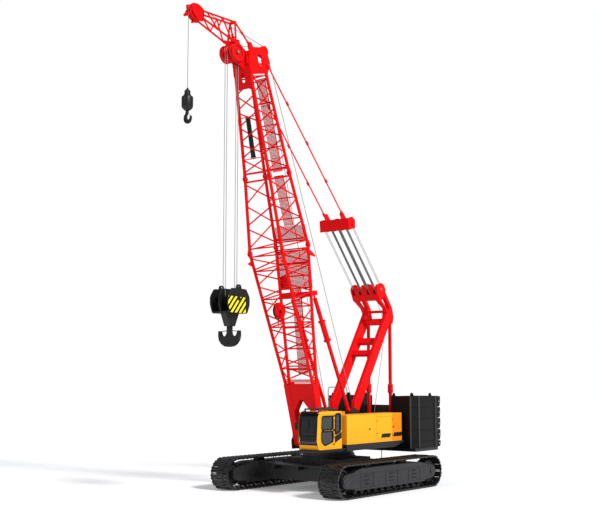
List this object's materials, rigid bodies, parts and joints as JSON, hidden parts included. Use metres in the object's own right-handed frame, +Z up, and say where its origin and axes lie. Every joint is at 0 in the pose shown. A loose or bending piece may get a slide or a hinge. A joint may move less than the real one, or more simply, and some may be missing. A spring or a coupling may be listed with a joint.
{
  "type": "crawler crane",
  "caption": "Crawler crane with a pinned lattice boom, rear gantry, pendants, stacked counterweights, glazed cab, main hook block and a tip extension with an auxiliary hook.",
  "frame": {"origin": "on the ground under the slewing axis, midway between the tracks", "axes": "+X to the machine's front, +Y to its left (the cab side), +Z up"},
  "size_m": [16.357, 7.5, 21.545],
  "materials": {
    "boom_red": "gloss",
    "house_yellow": "gloss",
    "undercarriage_grey": "satin",
    "track_black": "satin",
    "counterweight_grey": "satin",
    "sheave_steel": "satin",
    "wire_rope": "satin",
    "cab_glass": "gloss",
    "engine_grey": "satin",
    "seat_black": "matte"
  },
  "bodies": {
    "undercarriage": {"carbody": "undercarriage_grey", "undercarriage_steps": "undercarriage_grey", "track_frame_left": "undercarriage_grey", "track_frame_right": "undercarriage_grey", "track_left": "track_black", "track_right": "track_black", "idlers": "undercarriage_grey", "sprockets": "undercarriage_grey"},
    "upper": {"revolving_deck": "undercarriage_grey", "house_left": "house_yellow", "house_right": "house_yellow", "engine_block": "engine_grey", "roof_box": "engine_grey", "roof_rails": "engine_grey", "counterweight_left": "counterweight_grey", "counterweight_right": "counterweight_grey", "gantry_legs": "boom_red", "gantry_head": "boom_red", "back_legs": "boom_red", "cab_shell": "house_yellow", "cab_glass": "cab_glass", "operator_seat": "seat_black", "luffing_ropes": "wire_rope", "hoist_lines": "wire_rope"},
    "hoist_drum": {"hoist_drum": "boom_red"},
    "aux_drum": {"aux_drum": "boom_red"},
    "luffing_drum": {"luffing_drum": "boom_red"},
    "house_door_left": {"house_door_left": "house_yellow"},
    "house_door_right": {"house_door_right": "house_yellow"},
    "cab_door": {"cab_door": "house_yellow", "door_glass": "cab_glass"},
    "boom": {"boom_foot": "boom_red", "boom_insert": "boom_red", "boom_head": "boom_red", "boom_walkway": "engine_grey", "tip_extension": "boom_red", "pendants": "boom_red", "bail": "boom_red"},
    "head_sheaves": {"head_sheaves": "sheave_steel"},
    "deflector_sheave": {"deflector_sheave": "sheave_steel"},
    "tip_sheave": {"tip_sheave": "sheave_steel"},
    "backstop_rods": {"backstop_rods": "boom_red"},
    "backstop_tubes": {"backstop_tubes": "boom_red"},
    "main_falls": {"main_falls": "wire_rope"},
    "hook_block": {"hook_block": "track_black"},
    "ramshorn_hook": {"ramshorn_hook": "track_black"},
    "aux_rope": {"aux_rope": "wire_rope"},
    "aux_ball": {"aux_ball": "track_black"},
    "aux_hook": {"aux_hook": "track_black"}
  },
  "joints": [
    {"name": "slew", "type": "hinge", "parent": "undercarriage", "child": "upper", "pos_m": [0, 0, 1.7], "axis": [0, 0, 1], "continuous": true},
    {"name": "boom_luff", "type": "hinge", "parent": "upper", "child": "boom", "pos_m": [1.47, 0, 2.25], "axis": [0, -1, 0], "range_deg": [-40, 5], "deforming": ["luffing_ropes", "hoist_lines"]},
    {"name": "head_sheave_spin", "type": "hinge", "parent": "boom", "child": "head_sheaves", "pos_m": [7.2848, 0, 19.95192], "axis": [0, 1, 0], "continuous": true},
    {"name": "deflector_spin", "type": "hinge", "parent": "boom", "child": "deflector_sheave", "pos_m": [5.15378, 0, 20.57702], "axis": [0, 1, 0], "continuous": true},
    {"name": "tip_sheave_spin", "type": "hinge", "parent": "boom", "child": "tip_sheave", "pos_m": [9.77, 0, 21.18], "axis": [0, 1, 0], "continuous": true},
    {"name": "main_falls_swing", "type": "hinge", "parent": "boom", "child": "main_falls", "pos_m": [7.2848, 0, 19.95192], "axis": [0, -1, 0], "range_deg": [-6, 41]},
    {"name": "main_hoist", "type": "slide", "parent": "main_falls", "child": "hook_block", "axis": [0, 0, -1], "range_m": [-7, 6], "deforming": ["main_falls"]},
    {"name": "hook_swivel", "type": "hinge", "parent": "hook_block", "child": "ramshorn_hook", "pos_m": [7.2848, 0, 7.56], "axis": [0, 0, 1], "continuous": true},
    {"name": "aux_rope_swing", "type": "hinge", "parent": "boom", "child": "aux_rope", "pos_m": [9.77, 0, 21.18], "axis": [0, -1, 0], "range_deg": [-6, 41]},
    {"name": "aux_hoist", "type": "slide", "parent": "aux_rope", "child": "aux_ball", "axis": [0, 0, -1], "range_m": [-2, 13.5], "deforming": ["aux_rope"]},
    {"name": "aux_hook_swivel", "type": "hinge", "parent": "aux_ball", "child": "aux_hook", "pos_m": [10.1093, 0, 16.7], "axis": [0, 0, 1], "continuous": true},
    {"name": "backstop_swing", "type": "hinge", "parent": "upper", "child": "backstop_rods", "pos_m": [-0.83, 0, 3.52], "axis": [0, -1, 0], "range_deg": [-36.9, 5.05]},
    {"name": "backstop_slide", "type": "slide", "parent": "backstop_rods", "child": "backstop_tubes", "axis": [0.4516, 0, 0.8922], "range_m": [-0.22291, 1.76229]},
    {"name": "hoist_drum_spin", "type": "hinge", "parent": "upper", "child": "hoist_drum", "pos_m": [0.15, 0, 2.9], "axis": [0, 1, 0], "continuous": true},
    {"name": "aux_drum_spin", "type": "hinge", "parent": "upper", "child": "aux_drum", "pos_m": [-2.05, 0, 2.85], "axis": [0, 1, 0], "continuous": true},
    {"name": "luffing_drum_spin", "type": "hinge", "parent": "upper", "child": "luffing_drum", "pos_m": [-3.05, 0, 2.85], "axis": [0, 1, 0], "continuous": true},
    {"name": "cab_door_hinge", "type": "hinge", "parent": "upper", "child": "cab_door", "pos_m": [2.4203, 2.12, 2.9], "axis": [0, 0, 1], "range_deg": [0, 90]},
    {"name": "house_door_left_hinge", "type": "hinge", "parent": "upper", "child": "house_door_left", "pos_m": [-2.2997, 2.2, 2.9], "axis": [0, 0, 1], "range_deg": [0, 110]},
    {"name": "house_door_right_hinge", "type": "hinge", "parent": "upper", "child": "house_door_right", "pos_m": [-2.2997, -2.2, 2.9], "axis": [0, 0, -1], "range_deg": [0, 110]}
  ],
  "couplings": [
    {"joint": "main_falls_swing", "follows": "boom_luff", "ratio": -1},
    {"joint": "aux_rope_swing", "follows": "boom_luff", "ratio": -1},
    {"joint": "backstop_swing", "follows": "boom_luff", "ratio": 0.91},
    {"joint": "backstop_slide", "follows": "boom_luff", "m_per_rad": -2.52}
  ]
}
